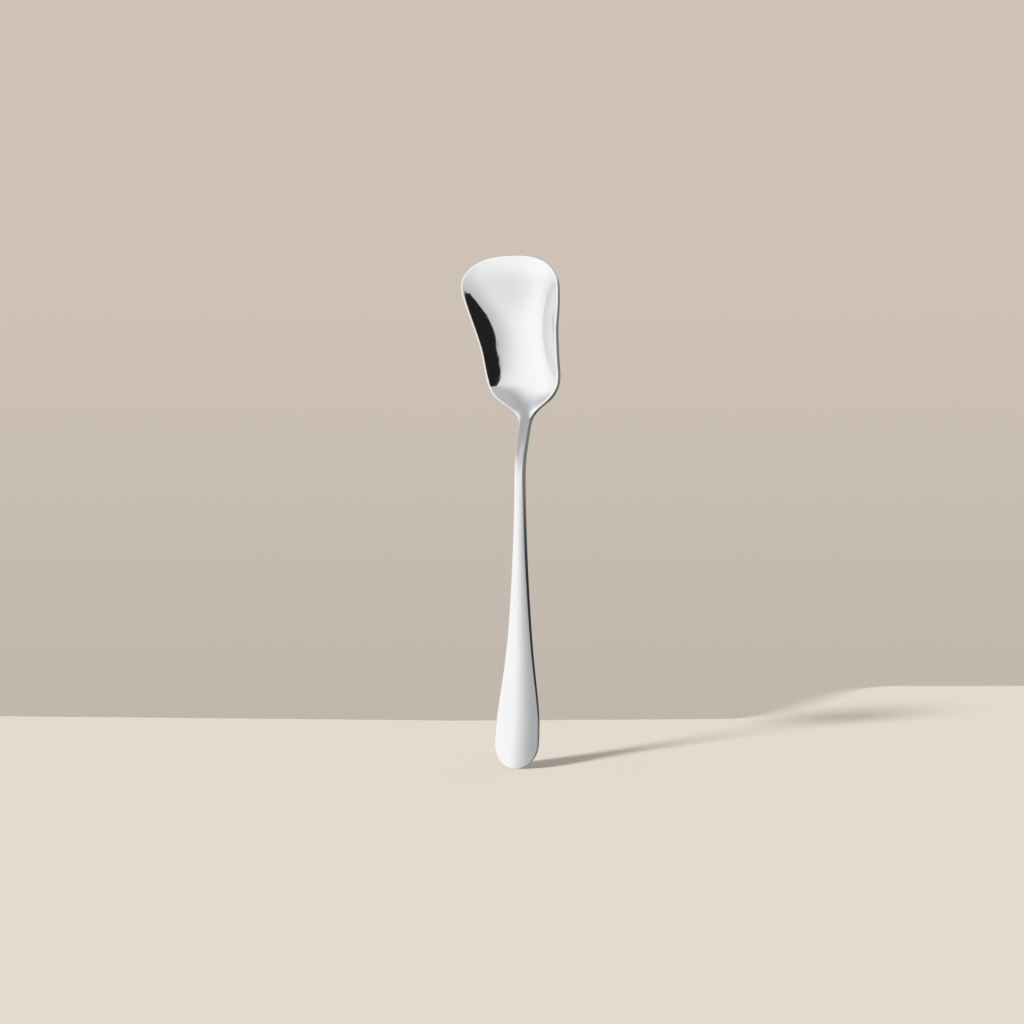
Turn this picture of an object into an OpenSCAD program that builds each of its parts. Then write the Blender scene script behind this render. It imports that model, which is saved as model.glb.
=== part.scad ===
// A square-headed dessert spoon, blanked and pressed in one piece from polished stainless steel.
// It stands on the end of its handle: Z runs up the spoon, X runs across it, and the hollow
// of the bowl faces -Y. The origin lies under the middle of the spoon's box.
// The metal is a row of cross-sections joined into one skin, cut into bowl, neck and handle
// where the forming changes. Neighbours share the section where they meet.

/* [Lengths] */
// Whole length, from the end of the handle to the lip of the bowl
total_length = 140; // [110:1:180]
// Length of the bowl, from its heel to its lip
bowl_length = 46; // [40:1:54]
// Length of the slender neck below the heel
neck_length = 22; // [14:1:30]

/* [Bowl] */
// Width across the flared front corners
front_width = 29.4; // [24:0.2:34]
// Width across the shoulders, above the heel
shoulder_width = 22.5; // [16:0.1:23.8]
// How far the rim stands in front of the floor where the bowl is deepest
bowl_depth = 7; // [4:0.1:9]
// Thickness of the sheet in the bowl
bowl_thickness = 1.3; // [0.9:0.05:1.6]
// Height of the rounded front, from the widest place to the lip
front_round = 9.5; // [7:0.1:11]
// Width of the buffed land along the rim
rim_land = 0.55; // [0.4:0.05:1]

/* [Side line] */
// How far the floor of the bowl lies behind the face of the handle
floor_set_back = 5.9; // [3:0.1:9]
// How far the lip of the bowl stands in front of the face of the handle
lip_forward = 5.7; // [2:0.1:9]
// How far the end of the handle curves forward
end_forward = 2.9; // [0:0.1:5]

/* [Neck and handle] */
// Width of the neck at its narrowest
neck_width = 2.5; // [2:0.1:5]
// Thickness of the neck
neck_thickness = 2.2; // [1.8:0.05:3.2]
// Greatest width of the handle, near its end
end_width = 12.8; // [8:0.1:18]
// Thickness of the handle at its end
end_thickness = 1.9; // [1.4:0.05:2.6]
// Length of the rounded end of the handle
end_round = 6.8; // [4:0.1:12]
// Rise of the crowned face of the handle at its widest
face_crown = 0.55; // [0.1:0.05:0.8]
// Radius of the rounded edges all round
edge_radius = 0.2; // [0.1:0.05:0.45]

/* [Hidden] */

steel_colour = "#dfe2e3";

stem_length = total_length - bowl_length;
neck_start = stem_length - neck_length;
front_start = total_length - front_round;

// Half width up the stem: [share of the stem, share of the step from neck to end]
stem_width_shares = [[0, 1], [0.075, 1], [0.14, 0.97], [0.19, 0.865], [0.24, 0.73], [0.31, 0.555],
    [0.38, 0.415], [0.46, 0.295], [0.56, 0.18], [0.67, 0.085], [0.79, 0.02], [0.9, 0],
    [0.965, 0.005], [1, 0.035]];
// Half width from the heel to the shoulders: [share of the bowl, share of the shoulder width]
heel_width_shares = [[0.04, 0.165], [0.072, 0.25], [0.108, 0.42], [0.143, 0.63], [0.185, 0.81],
    [0.24, 0.935], [0.31, 0.985], [0.38, 1]];
// Half width from the shoulders to the front: [share of the bowl, share of the flare]
flare_width_shares = [[0.465, 0.1], [0.55, 0.28], [0.64, 0.55], [0.72, 0.8], [0.8, 0.96],
    [0.88, 1], [1, 1]];

// Side line of the front face. First the end: [share of the stem, share of end_forward]
end_sweep_shares = [[0, 1], [0.055, 0.77], [0.14, 0.46], [0.2, 0.29], [0.3, 0.11], [0.43, 0],
    [0.62, 0], [0.8, 0]];
// Then the step back to the heel: [share of the stem, share of floor_set_back]
neck_step_shares = [[0.89, 0.06], [0.935, 0.24], [0.968, 0.41], [1, 0.57]];
// Then the floor: [share of the bowl, share of floor_set_back]
floor_rise_shares = [[0.072, 0.72], [0.143, 0.845], [0.25, 0.965], [0.36, 1]];
// Then the floor up to the lip: [share of the bowl, share of the way from floor to lip]
lip_rise_shares = [[0.465, 0.043], [0.565, 0.14], [0.674, 0.3], [0.783, 0.53], [0.891, 0.8], [1, 1]];

// Height of the rim over the floor: [share of the bowl, share of bowl_depth]
dish_shares = [[0, 0], [0.072, 0.04], [0.143, 0.27], [0.25, 0.46], [0.36, 0.71], [0.465, 0.87],
    [0.565, 1], [0.674, 0.98], [0.783, 0.85], [0.891, 0.46], [1, 0]];
// Places on the stem where the dish is nothing, as shares of the stem
plain_stem_shares = [0, 0.3, 0.6, 0.8, 0.9, 0.96];

// Thickness up the stem: [share of the stem, share of the step from end to neck]
stem_thickness_shares = [[0, 0], [0.2, 0.1], [0.45, 0.5], [0.7, 0.85], [0.88, 1]];
// Thickness up the bowl: [share of the bowl, share of the step from bowl to neck]
bowl_thickness_shares = [[0, 0.9], [0.12, 0.62], [0.26, 0.3], [0.45, 0.1], [0.7, 0], [1, -0.05]];

// Across the bowl the wall follows a plain curve, mixed with one that is steeper near the rim
plain_curve_share = 0.85;
// The outline of the front is fuller than an ellipse
front_along_power = 2.2;
front_across_power = 2.65;
// The rounded outlines stop this many degrees up, which leaves a short flat at the middle
stop_angle = 86.5;
// Share of the bowl over which the crown of the neck turns into the dish of the bowl
heel_blend_share = 0.17;
// The land runs into the wall over this share of its own width
land_ease_share = 0.25;
// The land takes away this share of the wall's slope
land_level_share = 0.7;
// An edge radius takes at most this share of the metal's thickness
edge_limit_share = 0.28;

// Sections: how many in each stretch
heel_steps = 16;
side_steps = 16;
front_steps = 22;
neck_steps = 12;
handle_steps = 24;
end_steps = 14;
heel_run_share = 0.26;
// Points across half a section: an even stretch, then these shares round the edge and the land
inner_steps = 7;
edge_shares = [0.134, 0.5, 1];
land_shares = [0.38, 0.64, 0.9];
// The points round the edge keep to these shares of a narrow section
narrow_share = 0.6;
blunt_share = 0.8;

// A smooth curve through stations [place, value], straight at both ends.
// It is kept as [stations, bends], where the bends are the second slopes at the stations.
function forward_sweep(step, grade, i) =
    i == 0
    ? [[0, 0]]
    : let (
        before = forward_sweep(step, grade, i - 1),
        pivot = 2 * (step[i - 1] + step[i]) - step[i - 1] * before[i - 1][0]
    )
    concat(before, [[
        step[i] / pivot,
        (6 * (grade[i] - grade[i - 1]) - step[i - 1] * before[i - 1][1]) / pivot
    ]]);
function back_solve(rows, i) =
    i == len(rows)
    ? [0]
    : let (after = back_solve(rows, i + 1))
    concat([i == 0 ? 0 : rows[i][1] - rows[i][0] * after[0]], after);
function curve_through(stations) =
    let (
        last = len(stations) - 1,
        step = [for (i = [0:last - 1]) stations[i + 1][0] - stations[i][0]],
        grade = [for (i = [0:last - 1]) (stations[i + 1][1] - stations[i][1]) / step[i]]
    )
    [stations, back_solve(forward_sweep(step, grade, last - 1), 0)];
function piece_at(curve, z) =
    min(len(curve[0]) - 2, max(0, len([for (s = curve[0]) if (s[0] <= z) 1]) - 1));
function value_at(curve, z) =
    let (
        i = piece_at(curve, z),
        low = curve[0][i],
        high = curve[0][i + 1],
        step = high[0] - low[0],
        a = (high[0] - z) / step,
        b = (z - low[0]) / step
    )
    a * low[1] + b * high[1]
    + ((pow(a, 3) - a) * curve[1][i] + (pow(b, 3) - b) * curve[1][i + 1]) * step * step / 6;
function slope_at(curve, z) =
    let (
        i = piece_at(curve, z),
        low = curve[0][i],
        high = curve[0][i + 1],
        step = high[0] - low[0],
        a = (high[0] - z) / step,
        b = (z - low[0]) / step
    )
    (high[1] - low[1]) / step
    + ((3 * b * b - 1) * curve[1][i + 1] - (3 * a * a - 1) * curve[1][i]) * step / 6;

// Stations on the stem and on the bowl, from their shares
function on_stem(share) = share * stem_length;
function on_bowl(share) = stem_length + share * bowl_length;

width_curve = curve_through(concat(
    [for (s = stem_width_shares) [on_stem(s[0]), (neck_width + s[1] * (end_width - neck_width)) / 2]],
    [for (s = heel_width_shares) [on_bowl(s[0]), s[1] * shoulder_width / 2]],
    [for (s = flare_width_shares)
        [on_bowl(s[0]), (shoulder_width + s[1] * (front_width - shoulder_width)) / 2]]
));
face_curve = curve_through(concat(
    [for (s = end_sweep_shares) [on_stem(s[0]), -s[1] * end_forward]],
    [for (s = neck_step_shares) [on_stem(s[0]), s[1] * floor_set_back]],
    [for (s = floor_rise_shares) [on_bowl(s[0]), s[1] * floor_set_back]],
    [for (s = lip_rise_shares)
        [on_bowl(s[0]), floor_set_back - s[1] * (floor_set_back + lip_forward)]]
));
dish_curve = curve_through(concat(
    [for (share = plain_stem_shares) [on_stem(share), 0]],
    [for (s = dish_shares) [on_bowl(s[0]), s[1] * bowl_depth]]
));
thickness_curve = curve_through(concat(
    [for (s = stem_thickness_shares)
        [on_stem(s[0]), end_thickness + s[1] * (neck_thickness - end_thickness)]],
    [for (s = bowl_thickness_shares)
        [on_bowl(s[0]), bowl_thickness + s[1] * (neck_thickness - bowl_thickness)]]
));

// The rounded outlines at the two ends reach a little past the stop
front_reach = front_round / sin(stop_angle);
end_reach = end_round / sin(stop_angle);
function front_place(z) = max(0, (z - front_start) / front_reach);
function end_place(z) = max(0, (end_round - z) / end_reach);
function end_factor(z) =
    pow(1 - pow(front_place(z), front_along_power), 1 / front_across_power)
    * sqrt(1 - pow(end_place(z), 2));
function end_factor_grade(z) =
    -front_along_power / front_across_power * pow(front_place(z), front_along_power - 1)
        / (front_reach * (1 - pow(front_place(z), front_along_power)))
    + end_place(z) / (end_reach * (1 - pow(end_place(z), 2)));

// How much of the bowl's form a section has: none at the heel, all of it past the blend
function bowl_share(z) =
    let (t = min(1, max(0, (z - stem_length) / (heel_blend_share * bowl_length))))
    t * t * t * (t * (6 * t - 15) + 10);
// The wall across the bowl, from 0 at the middle to 1 at the rim, and its slope
function wall_curve(s) = plain_curve_share * s * s + (1 - plain_curve_share) * pow(s, 4);
function wall_slope(s) = 2 * plain_curve_share * s + 4 * (1 - plain_curve_share) * pow(s, 3);
// What a rounded edge takes off the face at a distance from the outline
function edge_drop(distance, radius) =
    distance >= radius ? 0 : radius - sqrt(radius * radius - pow(radius - distance, 2));
// A ramp that starts softly
function soft_ramp(v, ease) =
    v <= -ease ? 0 : v >= ease ? v : (v + ease) * (v + ease) / (4 * ease);

// One cross-section: the front from left to right, then the back from right to left
function section(z) =
    let (
        carried = value_at(width_curve, z),
        half = carried * end_factor(z),
        half_grade = slope_at(width_curve, z) * end_factor(z) + half * end_factor_grade(z),
        face = value_at(face_curve, z),
        face_grade = slope_at(face_curve, z),
        dish = value_at(dish_curve, z),
        dish_grade = slope_at(dish_curve, z),
        thickness = value_at(thickness_curve, z),
        crown = face_crown * (1 - bowl_share(z)) * carried * 2 / end_width,
        radius = min(edge_radius, edge_limit_share * thickness),
        land = rim_land * bowl_share(z),
        lean = abs(half * half_grade),
        // Distances from the outline at which the edge and the land have their points
        marks = concat(
            [0],
            [for (s = edge_shares) s * radius],
            [for (s = land_shares) radius + s * rim_land]
        ),
        reach = marks[len(marks) - 1],
        fit = min(1, narrow_share * half / reach, blunt_share * half * half / (2 * lean * reach)),
        edge_x = [for (i = [len(marks) - 1:-1:0])
            let (q = sqrt(pow(fit * marks[i], 2) + half * half + lean * lean) - fit * marks[i])
            sqrt(q * q - lean * lean)],
        right_x = concat([for (i = [0:inner_steps - 1]) edge_x[0] * i / inner_steps], edge_x),
        across = concat([for (i = [len(right_x) - 1:-1:1]) -right_x[i]], right_x),
        walls = [for (x = across)
            let (
                s = min(1, abs(x) / half),
                far = max(0, half * half - x * x) / (2 * sqrt(x * x + lean * lean)),
                tilt_x = dish * wall_slope(s) / half - 2 * crown * abs(x) / (carried * carried),
                tilt_z = face_grade - dish_grade * wall_curve(s)
                    + dish * wall_slope(s) * s * half_grade / half,
                tilt = sqrt(tilt_x * tilt_x + tilt_z * tilt_z),
                wall = face - dish * wall_curve(s),
                land_rise = soft_ramp(land - far, land_ease_share * rim_land),
                levelled = land_level_share * tilt * land_rise * bowl_share(z),
                drop = edge_drop(far, radius)
            )
            [
                x,
                wall + crown * pow(x / carried, 2) + levelled + drop,
                wall + thickness * sqrt(1 + tilt * tilt) - drop
            ]]
    )
    concat(
        [for (w = walls) [w[0], w[1], z]],
        [for (i = [len(walls) - 1:-1:0]) [walls[i][0], walls[i][2], z]]
    );

// Heights of the sections in each piece
function even_rows(low, high, steps) = [for (i = [0:steps]) low + (high - low) * i / steps];
heel_top = stem_length + heel_run_share * bowl_length;
bowl_rows = concat(
    even_rows(stem_length, heel_top, heel_steps),
    [for (i = [1:side_steps]) heel_top + (front_start - heel_top) * i / side_steps],
    [for (i = [1:front_steps]) front_start + front_reach * sin(stop_angle * i / front_steps)]
);
neck_rows = even_rows(neck_start, stem_length, neck_steps);
handle_rows = concat(
    [for (i = [end_steps:-1:1]) end_round - end_reach * sin(stop_angle * i / end_steps)],
    even_rows(end_round, neck_start, handle_steps)
);

// The middle of the spoon's box from front to back, which the origin lies under
depths = [for (z = concat(handle_rows, bowl_rows)) for (p = section(z)) p[1]];
middle_depth = (min(depths) + max(depths)) / 2;

// One closed skin over a row of sections, alike on its left and right
module skin(rows) {
    rings = [for (z = rows) section(z)];
    count = len(rings[0]);
    last = count / 2 - 1;
    points = [for (ring = rings) for (p = ring) [p[0], p[1] - middle_depth, p[2]]];
    sides = [for (i = [0:len(rows) - 2]) for (j = [0:count - 1])
        let (
            a = i * count + j,
            b = i * count + (j + 1) % count,
            c = b + count,
            d = a + count,
            rising = j < last / 2 || (j > last && j < last + 1 + last / 2)
        )
        each rising ? [[a, d, c], [a, c, b]] : [[a, d, b], [b, d, c]]];
    lids = [for (j = [0:last - 1])
        let (a = j, b = j + 1, c = count - 2 - j, d = count - 1 - j, up = (len(rows) - 1) * count)
        each [[a, b, c], [a, c, d], [up + a, up + c, up + b], [up + a, up + d, up + c]]];
    polyhedron(points = points, faces = concat(sides, lids));
}

module bowl() {
    color(steel_colour) skin(bowl_rows);
}

module neck() {
    color(steel_colour) skin(neck_rows);
}

module handle() {
    color(steel_colour) skin(handle_rows);
}

bowl();
neck();
handle();
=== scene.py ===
import math

import bpy
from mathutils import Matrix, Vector


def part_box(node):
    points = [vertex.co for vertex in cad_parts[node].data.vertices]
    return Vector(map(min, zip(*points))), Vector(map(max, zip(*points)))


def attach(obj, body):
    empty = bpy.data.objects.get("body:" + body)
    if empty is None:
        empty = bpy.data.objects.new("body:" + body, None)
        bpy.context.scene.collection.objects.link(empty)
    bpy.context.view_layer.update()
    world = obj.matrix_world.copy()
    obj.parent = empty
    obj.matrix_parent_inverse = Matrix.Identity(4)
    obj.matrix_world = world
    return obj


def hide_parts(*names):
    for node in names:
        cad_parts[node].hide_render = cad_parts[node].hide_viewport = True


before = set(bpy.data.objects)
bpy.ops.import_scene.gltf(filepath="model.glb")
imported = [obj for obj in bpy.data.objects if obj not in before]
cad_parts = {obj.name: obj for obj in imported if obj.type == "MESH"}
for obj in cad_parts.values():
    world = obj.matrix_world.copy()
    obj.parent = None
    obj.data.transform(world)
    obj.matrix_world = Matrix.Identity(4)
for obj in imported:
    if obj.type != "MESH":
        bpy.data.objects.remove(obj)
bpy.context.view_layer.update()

millimetre = 0.001


def linearColour(hexColour):
    # sRGB hex, as a colour picker shows it, to the linear values that the shaders take
    shares = [int(hexColour[at:at + 2], 16) / 255 for at in (1, 3, 5)]
    lit = [s / 12.92 if s <= 0.04045 else ((s + 0.055) / 1.055) ** 2.4 for s in shares]
    return (*lit, 1.0)


def perMetre(sizeInMillimetres):
    # how often a pattern of that real size repeats in a metre, for a texture's scale
    return 1 / (sizeInMillimetres * millimetre)


def addNode(tree, kind, inputs=None, **settings):
    # one node, its own settings, and for each input a value or the socket that feeds it
    node = tree.nodes.new(kind)
    for name, value in settings.items():
        setattr(node, name, value)
    for name, value in (inputs or {}).items():
        if isinstance(value, bpy.types.NodeSocket):
            tree.links.new(value, node.inputs[name])
        else:
            node.inputs[name].default_value = value
    return node


def newMaterial(name):
    material = bpy.data.materials.new(name)
    material.use_nodes = True
    material.node_tree.nodes.clear()
    return material


def pickOnly(*things):
    bpy.ops.object.select_all(action="DESELECT")
    for thing in things:
        thing.select_set(True)
    bpy.context.view_layer.objects.active = things[0]


def pickFaces(thing, wanted):
    # leaves edit mode to mark faces by a test on each, then comes back with only those picked
    bpy.ops.mesh.select_all(action="DESELECT")
    bpy.ops.object.mode_set(mode="OBJECT")
    for face in thing.data.polygons:
        face.select = wanted(face)
    bpy.ops.object.mode_set(mode="EDIT")


# Camera: level, turned to the photograph's side of the spoon, with a long lens
camera = {
    "turn": 25.0,  # degrees round the spoon from straight in front, towards its left hand side
    "lens": 85.0,
    "sensor": 36.0,
    "distance": 0.6633,
    "aim": Vector((-0.00174, -0.00081, 0.07015)),
    "clip": (0.01, 50.0),
}
turn = math.radians(camera["turn"])
sightAlong = Vector((-math.sin(turn), math.cos(turn), 0.0))  # from the camera to the spoon
sightRight = Vector((math.cos(turn), math.sin(turn), 0.0))
bpy.ops.object.camera_add(location=camera["aim"] - sightAlong * camera["distance"])
cameraObject = bpy.context.object
cameraObject.name = "photo_camera"
cameraObject.rotation_euler = sightAlong.to_track_quat("-Z", "Y").to_euler()
cameraObject.data.lens = camera["lens"]
cameraObject.data.sensor_width = camera["sensor"]
cameraObject.data.clip_start, cameraObject.data.clip_end = camera["clip"]
bpy.context.scene.camera = cameraObject
print("camera placed")


# Mirror-polished 18/10 stainless steel: pressed from sheet, ground and then buffed on cloth
# wheels, so the eye gets near mirror reflections with faint lines along the length, and in use
# it is rubbed dull along its edges and marked by fingers and other cutlery
steel = {
    "colour": "#e8e8e9",
    "patchColour": "#e4e4e4",
    "patchSize": 22.0,  # mm, the slow change of tone from one hand-polished area to the next
    "roughness": 0.06,
    "smudge": 0.03,  # how much duller a finger mark is
    "smudgeSize": 9.0,  # mm
    "smudgeNoise": (0.35, 0.75),  # the marks come up between these values of their noise
    "heldBelow": (62.0, 30.0),  # mm up the handle, where fingers come
    "smudgeElsewhere": 0.5,
    "lineSpacing": 0.55,  # mm; wheel lines are near 0.1 mm, drawn coarser so that they show
    "lineLength": 30.0,  # mm
    "lineDepth": 0.0005,  # mm
    "lineDulling": 0.015,
    "scratchWidth": 0.35,  # mm; hairlines from the drawer, also drawn coarser than they are
    "scratchLength": 7.0,  # mm
    "scratchTurn": 34.0,  # degrees off the length
    "scratchNoise": (0.66, 0.72),
    "scratchDulling": 0.03,
    "scratchDepth": 0.0002,  # mm
    "edgeDulling": 0.05,
    "edgePointiness": (0.506, 0.53),  # 0.5 is flat, and more stands out of what is round it
}


def polishedSteel():
    material = newMaterial("polished_stainless_steel_18_10")
    tree = material.node_tree
    place = addNode(tree, "ShaderNodeTexCoord").outputs["Object"]
    patches = addNode(tree, "ShaderNodeTexNoise", {
        "Vector": place, "Scale": perMetre(steel["patchSize"]), "Detail": 2.0, "Roughness": 0.5})
    tone = addNode(tree, "ShaderNodeMix", {
        "Factor": patches.outputs["Fac"],
        "A": linearColour(steel["colour"]),
        "B": linearColour(steel["patchColour"])}, data_type="RGBA")
    # wheel lines: a noise drawn out along the length of the spoon
    stretched = addNode(tree, "ShaderNodeMapping", {
        "Vector": place,
        "Scale": (1.0, 1.0, steel["lineSpacing"] / steel["lineLength"])}, vector_type="POINT")
    lines = addNode(tree, "ShaderNodeTexNoise", {
        "Vector": stretched.outputs["Vector"], "Scale": perMetre(steel["lineSpacing"]),
        "Detail": 3.0, "Roughness": 0.6})
    # finger marks, most of them where the handle is held
    smudges = addNode(tree, "ShaderNodeTexNoise", {
        "Vector": place, "Scale": perMetre(steel["smudgeSize"]), "Detail": 3.0, "Roughness": 0.55})
    marks = addNode(tree, "ShaderNodeMapRange", {
        "Value": smudges.outputs["Fac"],
        "From Min": steel["smudgeNoise"][0], "From Max": steel["smudgeNoise"][1]},
        interpolation_type="SMOOTHSTEP")
    height = addNode(tree, "ShaderNodeSeparateXYZ", {"Vector": place}).outputs["Z"]
    held = addNode(tree, "ShaderNodeMapRange", {
        "Value": height, "From Min": steel["heldBelow"][0] * millimetre,
        "From Max": steel["heldBelow"][1] * millimetre, "To Min": steel["smudgeElsewhere"]},
        interpolation_type="SMOOTHSTEP")
    touched = addNode(tree, "ShaderNodeMath", {
        0: marks.outputs["Result"], 1: held.outputs["Result"]}, operation="MULTIPLY")
    # hairline scratches: the crests of a noise drawn out aslant
    slanted = addNode(tree, "ShaderNodeMapping", {
        "Vector": place, "Rotation": (0.0, math.radians(steel["scratchTurn"]), 0.0),
        "Scale": (1.0, 1.0, steel["scratchWidth"] / steel["scratchLength"])}, vector_type="POINT")
    crests = addNode(tree, "ShaderNodeTexNoise", {
        "Vector": slanted.outputs["Vector"], "Scale": perMetre(steel["scratchWidth"]),
        "Detail": 1.0})
    scratches = addNode(tree, "ShaderNodeMapRange", {
        "Value": crests.outputs["Fac"],
        "From Min": steel["scratchNoise"][0], "From Max": steel["scratchNoise"][1]},
        interpolation_type="SMOOTHSTEP")
    # rubbed edges: they stand out of the surface round them
    rubbed = addNode(tree, "ShaderNodeMapRange", {
        "Value": addNode(tree, "ShaderNodeNewGeometry").outputs["Pointiness"],
        "From Min": steel["edgePointiness"][0], "From Max": steel["edgePointiness"][1]},
        interpolation_type="SMOOTHSTEP")
    dulling = steel["roughness"]
    for mark, amount in (
            (touched.outputs["Value"], steel["smudge"]),
            (lines.outputs["Fac"], steel["lineDulling"]),
            (scratches.outputs["Result"], steel["scratchDulling"]),
            (rubbed.outputs["Result"], steel["edgeDulling"])):
        dulling = addNode(tree, "ShaderNodeMath", {
            0: mark, 1: amount, 2: dulling}, operation="MULTIPLY_ADD").outputs["Value"]
    relief = addNode(tree, "ShaderNodeBump", {
        "Height": lines.outputs["Fac"], "Strength": 1.0,
        "Distance": steel["lineDepth"] * millimetre})
    cut = addNode(tree, "ShaderNodeBump", {
        "Height": scratches.outputs["Result"], "Strength": 1.0,
        "Distance": steel["scratchDepth"] * millimetre,
        "Normal": relief.outputs["Normal"]}, invert=True)
    surface = addNode(tree, "ShaderNodeBsdfPrincipled", {
        "Base Color": tone.outputs["Result"], "Metallic": 1.0,
        "Roughness": dulling, "Normal": cut.outputs["Normal"]})
    addNode(tree, "ShaderNodeOutputMaterial", {"Surface": surface.outputs["BSDF"]})
    return material


# The spoon: one pressed piece of steel, so the three packed regions become one smooth skin
spoon = {
    "name": "spoon",
    "regions": ("bowl", "neck", "handle"),
    "weld": 0.002 * millimetre,
    "flattest": 60.0,  # degrees, the most that two triangles may differ to be made one quad
    "rounds": 2,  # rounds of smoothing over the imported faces
}


def makeSpoon():
    copies = []
    for region in spoon["regions"]:
        copy = bpy.data.objects.new(region + "_skin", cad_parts[region].data.copy())
        bpy.context.scene.collection.objects.link(copy)
        copies.append(copy)
    pickOnly(*copies)
    bpy.ops.object.join()
    piece = bpy.context.object
    piece.name = spoon["name"]
    seams = (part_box("bowl")[0].z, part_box("handle")[1].z)

    def insideLid(face):
        heights = [piece.data.vertices[at].co.z for at in face.vertices]
        return any(all(abs(h - seam) < spoon["weld"] for h in heights) for seam in seams)

    bpy.ops.object.mode_set(mode="EDIT")
    pickFaces(piece, insideLid)
    bpy.ops.mesh.delete(type="FACE")
    bpy.ops.mesh.select_all(action="SELECT")
    bpy.ops.mesh.remove_doubles(threshold=spoon["weld"])
    flattest = math.radians(spoon["flattest"])
    bpy.ops.mesh.tris_convert_to_quads(face_threshold=flattest, shape_threshold=flattest)
    bpy.ops.mesh.normals_make_consistent(inside=False)
    bpy.ops.object.mode_set(mode="OBJECT")
    if piece.data.has_custom_normals:
        bpy.ops.mesh.customdata_custom_splitnormals_clear()
    smoothing = piece.modifiers.new("smoothing", "SUBSURF")
    smoothing.levels = smoothing.render_levels = spoon["rounds"]
    bpy.ops.object.modifier_apply(modifier=smoothing.name)
    bpy.ops.object.shade_smooth()
    piece.data.materials.clear()
    piece.data.materials.append(polishedSteel())
    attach(piece, "root")
    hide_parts(*spoon["regions"])
    return piece


spoonPiece = makeSpoon()
print("spoon made,", len(spoonPiece.data.polygons), "faces")


# Floor: a pale matt sheet that ends behind the spoon, where the wall begins
floor = {
    "colour": "#e6dcd0",
    "roughness": 0.9,
    # its outline in metres, as distance behind the aim and distance to the right of it
    "outline": ((0.190, -2.0), (0.168, -0.18), (0.150, -0.02), (0.156, 0.07),
                (0.330, 0.0701), (0.330, 2.0), (-2.0, 2.0), (-2.0, -2.0)),
    # on the right the far edge runs back from the near line to the far one and blurs on the way
    "turnsBack": (0.070, 0.155),
    "lines": (0.156, 0.3115),
    "blur": 0.12,
    "sharp": 0.0008,
}


def makeFloor():
    ground = Vector((camera["aim"].x, camera["aim"].y, 0.0))
    bpy.ops.object.select_all(action="DESELECT")
    bpy.ops.mesh.primitive_circle_add(
        vertices=len(floor["outline"]), radius=1.0, fill_type="NGON")
    piece = bpy.context.object
    piece.name = "floor"
    for corner, (back, right) in zip(piece.data.vertices, floor["outline"]):
        corner.co = ground + sightAlong * back + sightRight * right
    piece.data.update()
    bpy.ops.object.mode_set(mode="EDIT")
    bpy.ops.mesh.select_all(action="SELECT")
    bpy.ops.mesh.quads_convert_to_tris()
    bpy.ops.object.mode_set(mode="OBJECT")
    material = newMaterial("matt_paper_floor")
    tree = material.node_tree
    place = addNode(tree, "ShaderNodeTexCoord").outputs["Object"]
    fromAim = addNode(tree, "ShaderNodeVectorMath", {
        0: place, 1: ground}, operation="SUBTRACT").outputs["Vector"]
    back, right = (
        addNode(tree, "ShaderNodeVectorMath", {
            0: fromAim, 1: along}, operation="DOT_PRODUCT").outputs["Value"]
        for along in (sightAlong, sightRight))
    turned = addNode(tree, "ShaderNodeMapRange", {
        "Value": right, "From Min": floor["turnsBack"][0], "From Max": floor["turnsBack"][1]},
        interpolation_type="SMOOTHSTEP").outputs["Result"]
    line = addNode(tree, "ShaderNodeMapRange", {
        "Value": turned,
        "To Min": floor["lines"][0], "To Max": floor["lines"][1]}).outputs["Result"]
    # the blur is widest half way along and nothing but the sharp width at both ends
    still = addNode(tree, "ShaderNodeMath", {
        0: 1.0, 1: turned}, operation="SUBTRACT").outputs["Value"]
    middle = addNode(tree, "ShaderNodeMath", {
        0: turned, 1: still}, operation="MULTIPLY").outputs["Value"]
    half = addNode(tree, "ShaderNodeMath", {
        0: middle, 1: floor["blur"], 2: floor["sharp"]}, operation="MULTIPLY_ADD").outputs["Value"]
    near = addNode(tree, "ShaderNodeMath", {
        0: line, 1: half}, operation="SUBTRACT").outputs["Value"]
    far = addNode(tree, "ShaderNodeMath", {0: line, 1: half}, operation="ADD").outputs["Value"]
    beyond = addNode(tree, "ShaderNodeMapRange", {
        "Value": back, "From Min": near, "From Max": far},
        interpolation_type="SMOOTHSTEP").outputs["Result"]
    onRight = addNode(tree, "ShaderNodeMath", {
        0: right, 1: floor["turnsBack"][0]}, operation="GREATER_THAN").outputs["Value"]
    gone = addNode(tree, "ShaderNodeMath", {
        0: beyond, 1: onRight}, operation="MULTIPLY").outputs["Value"]
    surface = addNode(tree, "ShaderNodeBsdfPrincipled", {
        "Base Color": linearColour(floor["colour"]), "Roughness": floor["roughness"],
        "Specular IOR Level": 0.0})
    clear = addNode(tree, "ShaderNodeBsdfTransparent")
    paper = addNode(tree, "ShaderNodeMixShader", {
        0: gone, 1: surface.outputs["BSDF"], 2: clear.outputs["BSDF"]})
    addNode(tree, "ShaderNodeOutputMaterial", {"Surface": paper.outputs["Shader"]})
    piece.data.materials.append(material)
    piece.visible_glossy = False  # the steel sees the tent's pale skirt below it instead


makeFloor()
print("floor laid")


# Lights: one soft lamp for the shadow and an even fill from the wall
studio = {
    "wallHigh": "#cec2b5",
    "wallLow": "#c0b6ac",
    "wallRise": (-0.083, 0.083),  # how steep the sight line is at the low tone and the high one
    "fill": 0.45,
    "lampTurn": -9.0,  # degrees from straight in front, towards the right hand side
    "lampHeight": 30.0,  # degrees up
    "lampWidth": 9.0,  # degrees across, which sets how soft the shadow is
    "lampPower": 3.35,
}


def towards(turnDegrees, heightDegrees):
    a, e = math.radians(turnDegrees), math.radians(heightDegrees)
    return Vector((math.sin(a) * math.cos(e), -math.cos(a) * math.cos(e), math.sin(e)))


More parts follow.
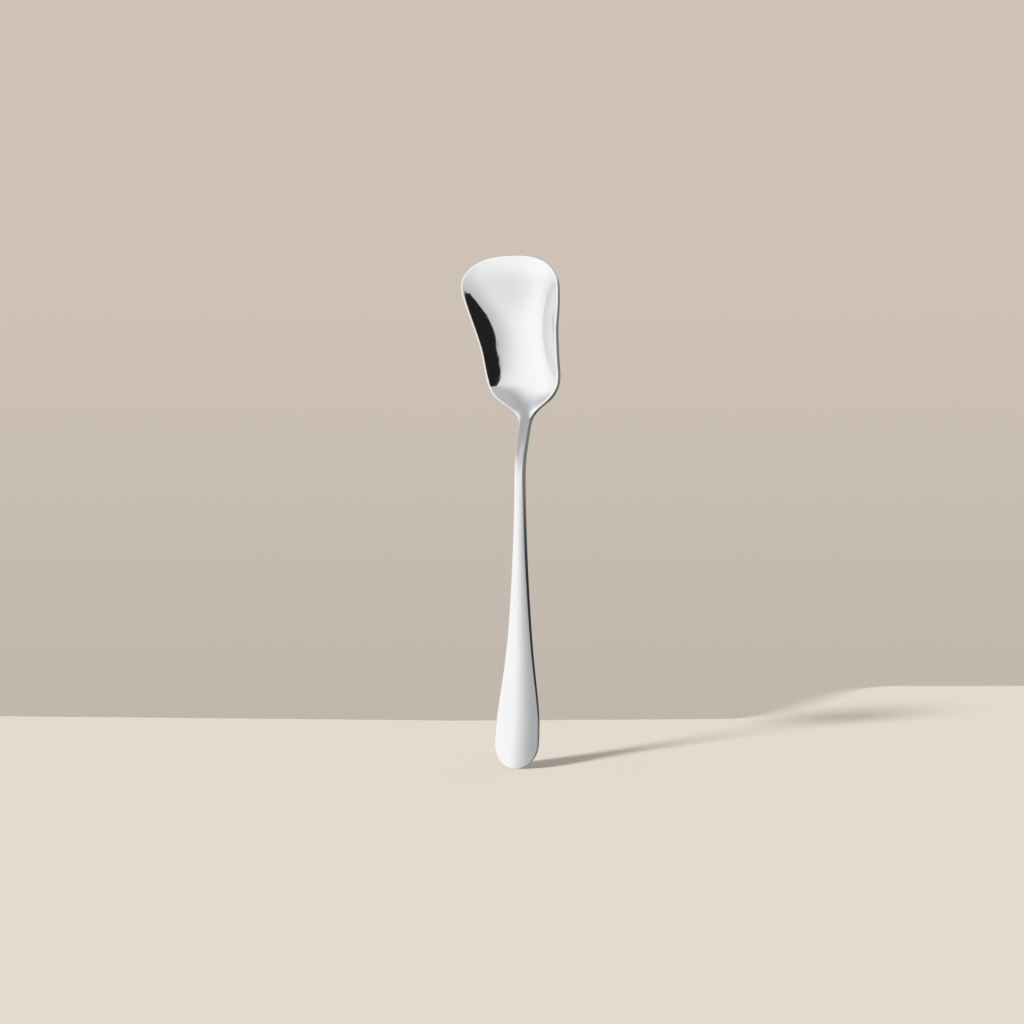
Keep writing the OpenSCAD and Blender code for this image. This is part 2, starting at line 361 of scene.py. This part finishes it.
def makeLamp():
    source = towards(studio["lampTurn"], studio["lampHeight"])
    bpy.ops.object.light_add(type="SUN", location=source)
    lamp = bpy.context.object
    lamp.name = "shadow_lamp"
    lamp.rotation_euler = (-source).to_track_quat("-Z", "Y").to_euler()
    lamp.data.energy = studio["lampPower"]
    lamp.data.angle = math.radians(studio["lampWidth"])
    lamp.visible_glossy = False


def makeWorld():
    world = bpy.data.worlds.new("studio")
    world.use_nodes = True
    bpy.context.scene.world = world
    tree = world.node_tree
    tree.nodes.clear()
    direction = addNode(tree, "ShaderNodeTexCoord").outputs["Generated"]
    height = addNode(tree, "ShaderNodeSeparateXYZ", {"Vector": direction}).outputs["Z"]
    rise = addNode(tree, "ShaderNodeMapRange", {
        "Value": height, "From Min": studio["wallRise"][0],
        "From Max": studio["wallRise"][1]}).outputs["Result"]
    wall = addNode(tree, "ShaderNodeMix", {
        "Factor": rise, "A": linearColour(studio["wallLow"]),
        "B": linearColour(studio["wallHigh"])}, data_type="RGBA").outputs["Result"]
    rays = addNode(tree, "ShaderNodeLightPath")
    seen = addNode(tree, "ShaderNodeMath", {
        0: rays.outputs["Is Camera Ray"], 1: rays.outputs["Is Glossy Ray"]}, operation="ADD")
    seen = addNode(tree, "ShaderNodeMath", {
        0: seen.outputs["Value"], 1: rays.outputs["Is Transmission Ray"]},
        operation="ADD", use_clamp=True)
    backdrop = addNode(tree, "ShaderNodeBackground", {"Color": wall, "Strength": 1.0})
    fill = addNode(tree, "ShaderNodeBackground", {
        "Color": (1.0, 1.0, 1.0, 1.0), "Strength": studio["fill"]})
    either = addNode(tree, "ShaderNodeMixShader", {
        0: seen.outputs["Value"],
        1: fill.outputs["Background"], 2: backdrop.outputs["Background"]})
    addNode(tree, "ShaderNodeOutputWorld", {"Surface": either.outputs["Shader"]})


def onlyForMetal(sheet):
    sheet.visible_camera = False
    sheet.visible_diffuse = False
    sheet.visible_shadow = False


# Light tent: a glowing ball round the set, in place of tent cloth and seen by the steel alone,
# whose tones are painted reflections: what the polished steel gives back
tent = {
    "radius": 0.9,
    "segments": 64,
    "rings": 32,
    "glow": 1.25,  # steel gives back four fifths of it, so a tone shows as it is written
    # tones round the tent, by degrees from straight in front towards the right hand side
    "belt": ((-180, "#606060"), (-150, "#808080"), (-125, "#b0b0b0"), (-108, "#c8c8c8"),
             (-95, "#dcdcdc"), (-75, "#f6f6f6"), (-55, "#fbfbfb"), (-30, "#f5f5f5"),
             (-15, "#f2f2f2"), (0, "#ececec"), (12, "#e2e2e2"), (25, "#d6d6d6"),
             (38, "#c8c8c8"), (60, "#b4b4b4"), (100, "#a8a8a8"), (130, "#8c8c8c"),
             (155, "#6e6e6e"), (180, "#606060")),
    "crown": "#a9aaab",
    "crownRise": (12.0, 25.5),  # degrees up, where the belt turns into the crown
    "crownTilt": 0.12,  # it comes down lower on the right hand side
    "crownSides": "#b8b8b8",  # its tone away from the way that the bowl's heel looks
    "crownMiddle": -30.0,
    "crownSpread": (15.0, 50.0),
    "skirt": "#dedede",
    "skirtFall": (-25.0, -60.0),
}


def makeTent():
    bpy.ops.mesh.primitive_uv_sphere_add(
        segments=tent["segments"], ring_count=tent["rings"], radius=tent["radius"],
        location=camera["aim"])
    piece = bpy.context.object
    piece.name = "light_tent"
    material = newMaterial("tent_glow_painted_reflections")
    tree = material.node_tree
    place = addNode(tree, "ShaderNodeTexCoord").outputs["Object"]
    side = addNode(tree, "ShaderNodeSeparateXYZ", {"Vector": place}).outputs
    ahead = addNode(tree, "ShaderNodeMath", {0: side["Y"], 1: -1.0}, operation="MULTIPLY")
    around = addNode(tree, "ShaderNodeMath", {
        0: side["X"], 1: ahead.outputs["Value"]}, operation="ARCTAN2")
    share = addNode(tree, "ShaderNodeMapRange", {
        "Value": around.outputs["Value"], "From Min": -math.pi, "From Max": math.pi})
    belt = addNode(tree, "ShaderNodeValToRGB", {"Fac": share.outputs["Result"]})
    belt.color_ramp.interpolation = "B_SPLINE"
    stops = belt.color_ramp.elements
    while len(stops) > 1:
        stops.remove(stops[-1])
    stops[0].position = 0.0
    stops[0].color = linearColour(tent["belt"][0][1])
    for degrees, tone in tent["belt"][1:]:
        stops.new((degrees + 180) / 360).color = linearColour(tone)
    fromMiddle = addNode(tree, "ShaderNodeMath", {
        0: around.outputs["Value"], 1: math.radians(tent["crownMiddle"])}, operation="SUBTRACT")
    aside = addNode(tree, "ShaderNodeMath", {
        0: fromMiddle.outputs["Value"]}, operation="ABSOLUTE")
    sideways = addNode(tree, "ShaderNodeMapRange", {
        "Value": aside.outputs["Value"], "From Min": math.radians(tent["crownSpread"][0]),
        "From Max": math.radians(tent["crownSpread"][1])}, interpolation_type="SMOOTHSTEP")
    crown = addNode(tree, "ShaderNodeMix", {
        "Factor": sideways.outputs["Result"], "A": linearColour(tent["crown"]),
        "B": linearColour(tent["crownSides"])}, data_type="RGBA")
    tilted = addNode(tree, "ShaderNodeMath", {
        0: side["X"], 1: tent["crownTilt"], 2: side["Z"]}, operation="MULTIPLY_ADD")
    tones = belt.outputs["Color"]
    for colour, height, limits in (
            (linearColour(tent["skirt"]), side["Z"], tent["skirtFall"]),
            (crown.outputs["Result"], tilted.outputs["Value"], tent["crownRise"])):
        low, high = (tent["radius"] * math.sin(math.radians(limit)) for limit in limits)
        reached = addNode(tree, "ShaderNodeMapRange", {
            "Value": height, "From Min": low, "From Max": high}, interpolation_type="SMOOTHSTEP")
        tones = addNode(tree, "ShaderNodeMix", {
            "Factor": reached.outputs["Result"], "A": tones, "B": colour},
            data_type="RGBA").outputs["Result"]
    # the tones glow and only the steel sees them: painted reflections
    glow = addNode(tree, "ShaderNodeEmission", {"Color": tones, "Strength": tent["glow"]})
    addNode(tree, "ShaderNodeOutputMaterial", {"Surface": glow.outputs["Emission"]})
    piece.data.materials.append(material)
    onlyForMetal(piece)


# Sheets close to the spoon, glowing for the steel alone, so their grey and dark tones are
# painted reflections: their place and size in mm, their tone, and how wide each edge fades
sheets = (
    {"name": "grey_sheet_before_handle", "turn": 0.0, "place": (26.5, -30.0, 39.0),
     "size": (89.0, 110.0), "tone": "#a8a9aa", "fade": {"left": 20.0, "top": 36.0}},
    {"name": "grey_card_before_neck", "turn": 0.0, "place": (-3.5, -12.0, 90.0),
     "size": (16.0, 26.0), "tone": "#c8c8c8", "fade": {"left": 5.0, "bottom": 15.0, "top": 9.0}},
    {"name": "black_card_before_bowl", "turn": 0.0, "place": (33.0, -23.0, 99.5),
     "size": (54.0, 11.0), "tone": "#1e1e1e", "fade": {}},
    {"name": "dark_sheet_behind_handle", "turn": 150.0, "place": (36.0, 56.0, 42.0),
     "size": (90.0, 90.0), "tone": "#303030",
     "fade": {"left": 12.0, "right": 12.0, "top": 32.0, "bottom": 30.0}},
)


def makeSheet(sheet):
    wide, tall = (length * millimetre for length in sheet["size"])
    bpy.ops.object.select_all(action="DESELECT")
    bpy.ops.mesh.primitive_plane_add(size=1.0)
    piece = bpy.context.object
    piece.name = sheet["name"]
    piece.scale = (wide, tall, 1.0)
    bpy.ops.object.transform_apply(location=False, rotation=False, scale=True)
    # upright, its own X to the right hand as the spoon's front sees it
    piece.rotation_euler = (math.radians(90), 0.0, math.radians(sheet["turn"]))
    piece.location = Vector(sheet["place"]) * millimetre
    material = newMaterial(sheet["name"] + "_paper")
    tree = material.node_tree
    place = addNode(tree, "ShaderNodeTexCoord").outputs["Object"]
    across = addNode(tree, "ShaderNodeSeparateXYZ", {"Vector": place}).outputs
    edges = {
        "left": (across["X"], -wide / 2, 1), "right": (across["X"], wide / 2, -1),
        "bottom": (across["Y"], -tall / 2, 1), "top": (across["Y"], tall / 2, -1)}
    cover = 1.0
    for edge, width in sheet["fade"].items():
        value, outer, inwards = edges[edge]
        step = addNode(tree, "ShaderNodeMapRange", {
            "Value": value, "From Min": outer, "From Max": outer + inwards * width * millimetre},
            interpolation_type="SMOOTHSTEP").outputs["Result"]
        cover = addNode(tree, "ShaderNodeMath", {
            0: cover, 1: step}, operation="MULTIPLY").outputs["Value"]
    clear = addNode(tree, "ShaderNodeBsdfTransparent")
    # each sheet glows with its tone for the steel alone: a painted reflection
    glow = addNode(tree, "ShaderNodeEmission", {
        "Color": linearColour(sheet["tone"]), "Strength": tent["glow"]})
    paper = addNode(tree, "ShaderNodeMixShader", {
        0: cover, 1: clear.outputs["BSDF"], 2: glow.outputs["Emission"]})
    addNode(tree, "ShaderNodeOutputMaterial", {"Surface": paper.outputs["Shader"]})
    piece.data.materials.append(material)
    onlyForMetal(piece)


# The flag whose reflection is the dark sickle in the bowl: a dark sheet that glows for the steel
# alone, a painted reflection, all in mm but for the two angles. The outline's corners are counted
# from the flag's middle, to its right and up
flag = {
    "turn": 48.0,
    "height": -6.0,
    "before": (-9.0, 0.0, 112.0),
    "distance": 800.0,
    "tone": "#1e1e1e",
    "outline": ((-240, 285), (-297, 268), (-335, 229), (-345, 185), (-356, 135), (-362, 85),
                (-348, 45), (-320, 12), (-285, -14), (-225, -40), (-150, -60), (-115, -80),
                (-62, -98), (-38, -118), (-14, -138), (-16, -158), (-30, -178), (0, -200),
                (28, -228), (52, -256), (80, -262), (110, -264), (150, -250), (260, -228),
                (370, -150), (430, -60), (430, 285)),
}


def makeFlag():
    facing = towards(flag["turn"], flag["height"])
    turned = math.radians(flag["turn"])
    right = Vector((math.cos(turned), math.sin(turned), 0.0))
    up = facing.cross(right)
    middle = (Vector(flag["before"]) + facing * flag["distance"]) * millimetre
    bpy.ops.object.select_all(action="DESELECT")
    bpy.ops.mesh.primitive_circle_add(
        vertices=len(flag["outline"]), radius=0.1, fill_type="NGON")
    piece = bpy.context.object
    piece.name = "black_flag"
    for corner, (across, high) in zip(piece.data.vertices, flag["outline"]):
        corner.co = middle + (right * across + up * high) * millimetre
    piece.data.update()
    material = newMaterial("flag_glow_painted_reflection")
    tree = material.node_tree
    # the flag glows dark for the steel alone: a painted dark reflection
    glow = addNode(tree, "ShaderNodeEmission", {
        "Color": linearColour(flag["tone"]), "Strength": tent["glow"]})
    addNode(tree, "ShaderNodeOutputMaterial", {"Surface": glow.outputs["Emission"]})
    piece.data.materials.append(material)
    onlyForMetal(piece)


makeLamp()
makeWorld()
makeTent()
for sheet in sheets:
    makeSheet(sheet)
makeFlag()
bpy.context.scene.view_settings.view_transform = "Standard"
print("studio lit")
